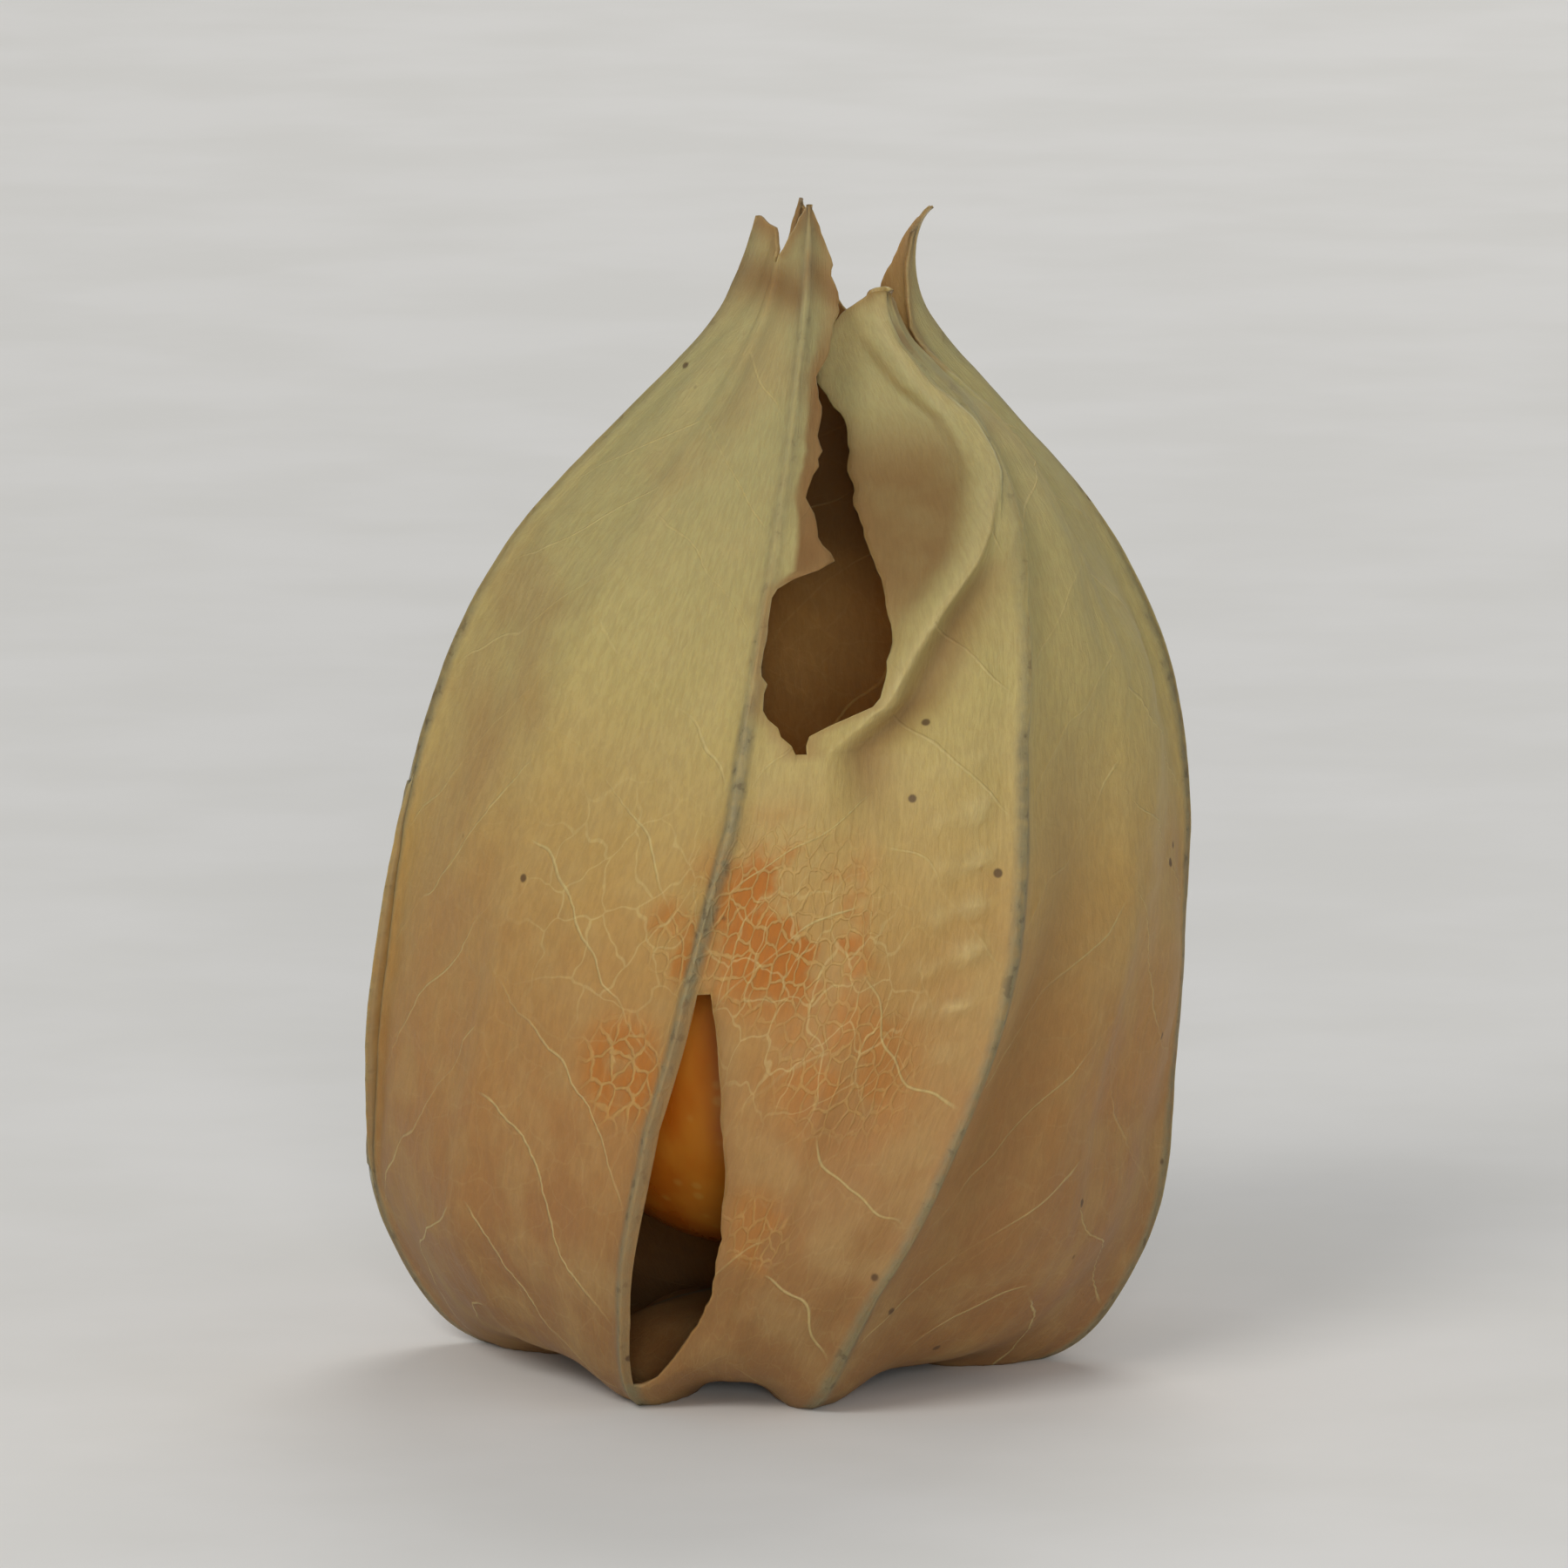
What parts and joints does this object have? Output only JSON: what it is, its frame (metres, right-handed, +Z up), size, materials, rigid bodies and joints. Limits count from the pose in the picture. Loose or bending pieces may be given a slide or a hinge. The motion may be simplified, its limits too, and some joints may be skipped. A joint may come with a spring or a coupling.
{
  "type": "physalis berry in its husk",
  "caption": "Ripe physalis berry inside its papery lantern husk, which stands tip up and has split open beside a rib",
  "frame": {"origin": "on the surface that the husk rests on, under the middle of the husk", "axes": "+Z runs up from the base lobes to the tip, -Y is the side with the split, +X is to its right"},
  "size_m": [0.0338, 0.0337, 0.048],
  "materials": {
    "husk_paper": "dry, veined, faintly translucent",
    "berry_skin": "smooth and waxy",
    "stalk": "dry and fibrous"
  },
  "bodies": {
    "root": {"husk": "husk_paper", "berry": "berry_skin", "stalk": "stalk"}
  },
  "joints": []
}
